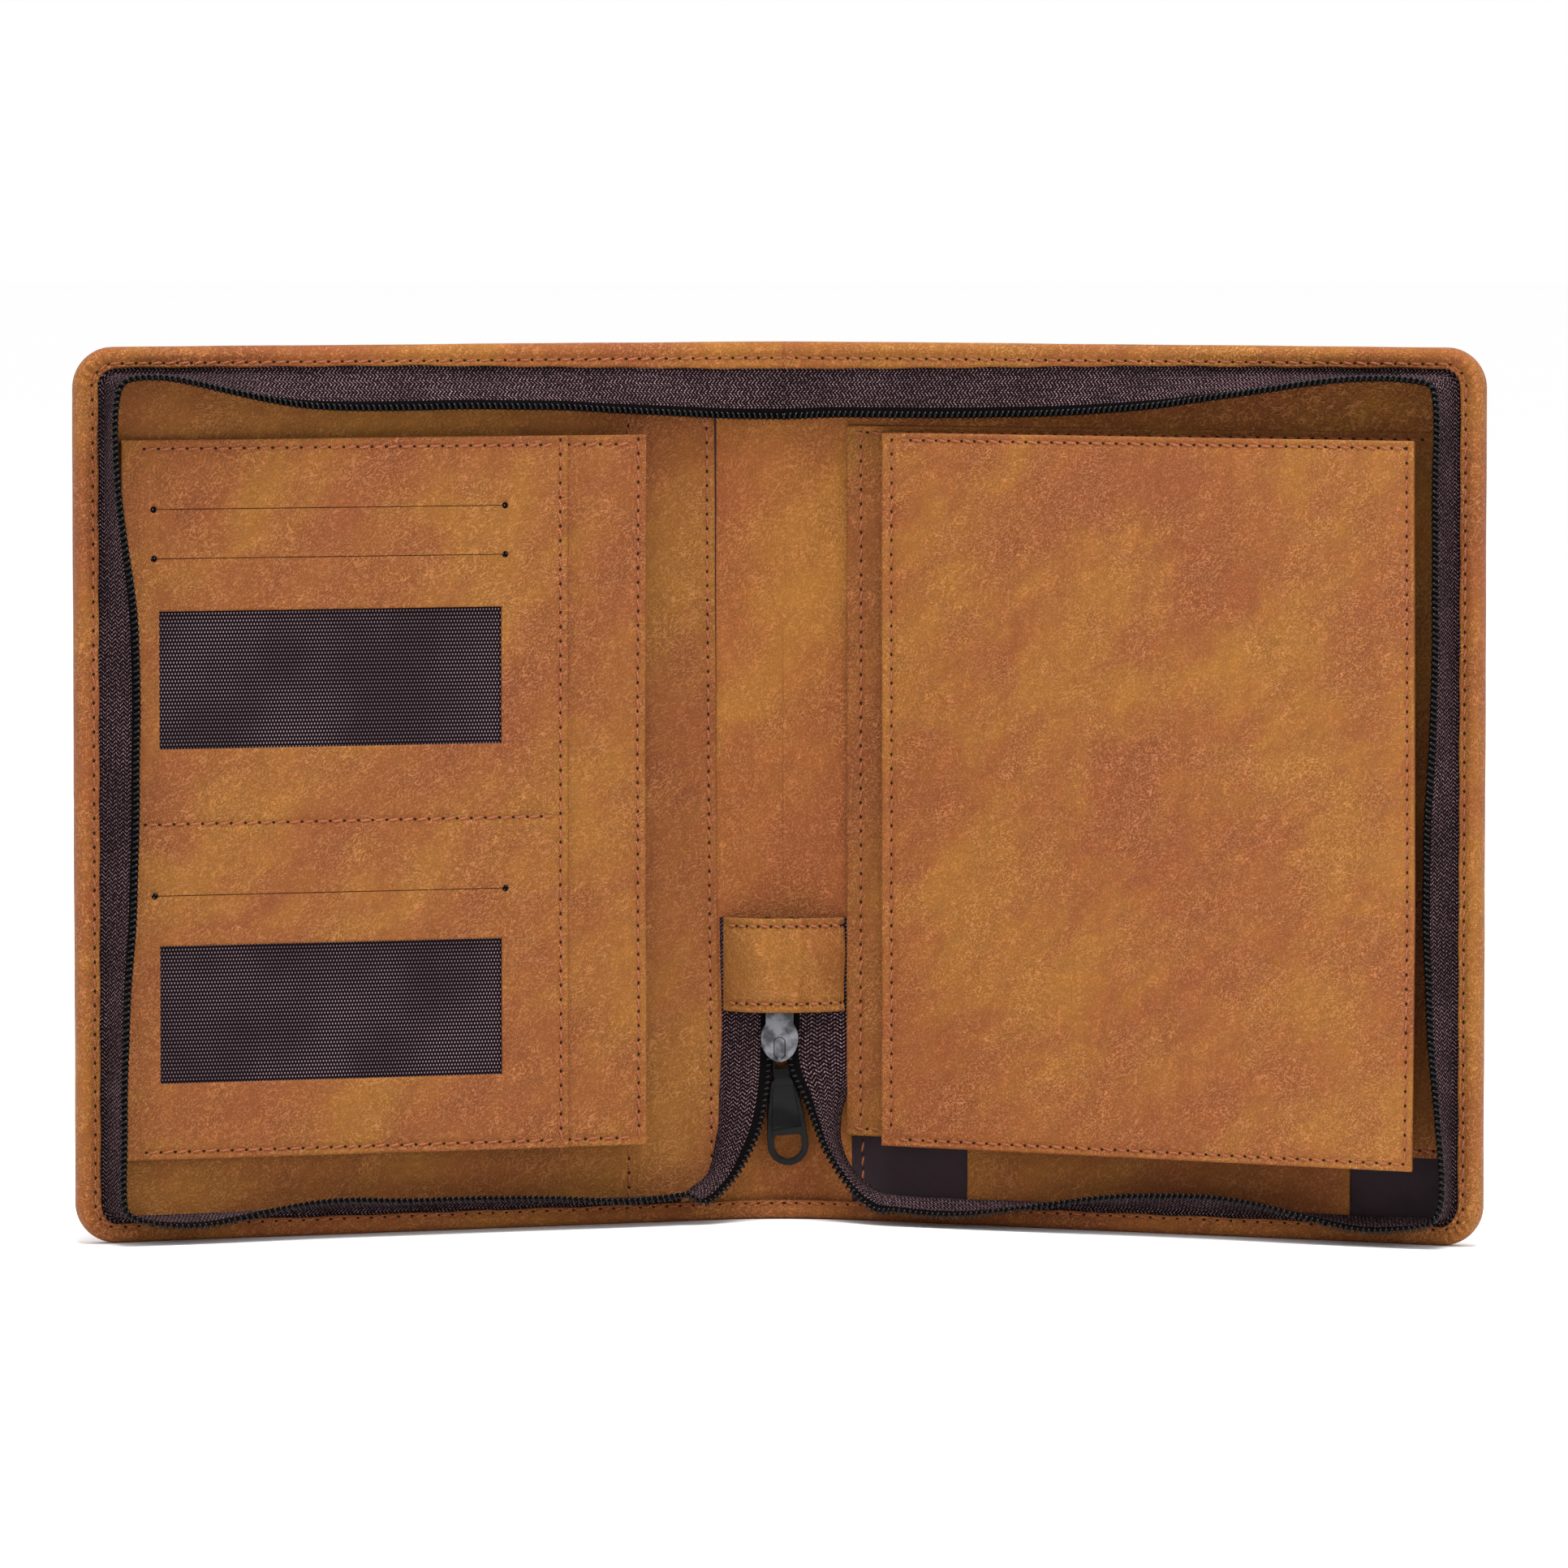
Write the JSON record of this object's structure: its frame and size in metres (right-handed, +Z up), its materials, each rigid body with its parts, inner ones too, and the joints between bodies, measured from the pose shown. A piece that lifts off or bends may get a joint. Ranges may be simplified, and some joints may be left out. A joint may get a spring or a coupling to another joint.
{
  "type": "travel document organizer",
  "caption": "Zip-around leather travel organizer standing open: padded covers on a curved spine, with pockets, a card panel, a pad flap and a zip with slider and pull.",
  "frame": {"origin": "middle of the footprint, on the surface it stands on", "axes": "+Z up along the height, +X to the right seen from the open side, -Y towards the open side"},
  "size_m": [0.3768, 0.0906, 0.24],
  "materials": {
    "leather": "mottled tan, satin",
    "nylon_lining": "woven dark nylon",
    "window_mesh": "woven dark nylon with a small diamond pattern",
    "zip_tape": "herringbone tape, dark aubergine",
    "zip_coil": "black nylon coil",
    "slider_metal": "satin grey cast metal",
    "pull_metal": "gloss black",
    "board": "hidden board",
    "foam": "hidden foam padding",
    "thread": "rust coloured sewing thread"
  },
  "bodies": {
    "spine": {"garage_band": "leather", "spine_cover_leather": "leather", "spine_lining": "leather", "spine_padding": "foam", "thread_garage_band": "thread", "thread_spine_rim": "thread", "zip_coil_spine_top": "zip_coil", "zip_tail_coil_left": "zip_coil", "zip_tail_coil_right": "zip_coil", "zip_tail_tape_left": "zip_tape", "zip_tail_tape_right": "zip_tape", "zip_tape_spine_top": "zip_tape"},
    "left_cover": {"card_panel_margin": "leather", "left_cover_board": "board", "left_cover_foam": "foam", "left_cover_leather": "leather", "left_cover_lining": "leather", "left_full_pocket": "leather", "left_inner_pocket": "leather", "thread_left_pockets": "thread", "thread_left_rim": "thread", "zip_coil_left_bottom": "zip_coil", "zip_coil_left_side": "zip_coil", "zip_coil_left_top": "zip_coil", "zip_tape_left_bottom": "zip_tape", "zip_tape_left_side": "zip_tape", "zip_tape_left_top": "zip_tape"},
    "card_panel": {"card_panel_back": "leather", "card_panel_face": "leather", "card_window_mesh_lower": "window_mesh", "card_window_mesh_upper": "window_mesh", "thread_card_panel": "thread"},
    "right_cover": {"pad_flap_margin": "leather", "right_bottom_facing": "leather", "right_cover_board": "board", "right_cover_foam": "foam", "right_cover_leather": "leather", "right_cover_lining": "nylon_lining", "right_top_facing": "leather", "right_wide_pocket": "leather", "thread_right_pocket": "thread", "thread_right_rim": "thread", "zip_coil_right_bottom": "zip_coil", "zip_coil_right_side": "zip_coil", "zip_coil_right_top": "zip_coil", "zip_tape_right_bottom": "zip_tape", "zip_tape_right_side": "zip_tape", "zip_tape_right_top": "zip_tape"},
    "pad_flap": {"pad_flap_back": "leather", "pad_flap_front": "leather", "pad_flap_stiffener": "board", "thread_pad_flap": "thread"},
    "slider": {"slider_body": "slider_metal", "slider_bridge": "slider_metal"},
    "pull_tab": {"pull_tab": "pull_metal"}
  },
  "joints": [
    {"name": "left_cover_fold", "type": "hinge", "parent": "spine", "child": "left_cover", "pos_m": [-0.01505, 0.0382, 0.12], "axis": [0, 0, 1], "range_deg": [-20.5, 69.5]},
    {"name": "right_cover_fold", "type": "hinge", "parent": "spine", "child": "right_cover", "pos_m": [0.01795, 0.0382, 0.12], "axis": [0, 0, -1], "range_deg": [-23, 67]},
    {"name": "card_panel_swing", "type": "hinge", "parent": "left_cover", "child": "card_panel", "pos_m": [-0.16917, -0.02359, 0.1186], "axis": [0, 0, 1], "range_deg": [-90, 2]},
    {"name": "pad_flap_swing", "type": "hinge", "parent": "right_cover", "child": "pad_flap", "pos_m": [0.02985, 0.02837, 0.1182], "axis": [0, 0, 1], "range_deg": [-115, 4]},
    {"name": "slider_travel", "type": "slide", "parent": "spine", "child": "slider", "axis": [0, 0, 1], "range_m": [0, 0.012]},
    {"name": "pull_tab_swing", "type": "hinge", "parent": "slider", "child": "pull_tab", "pos_m": [0.00025, 0.0375, 0.0469], "axis": [1, 0, 0], "range_deg": [-10, 4]}
  ]
}
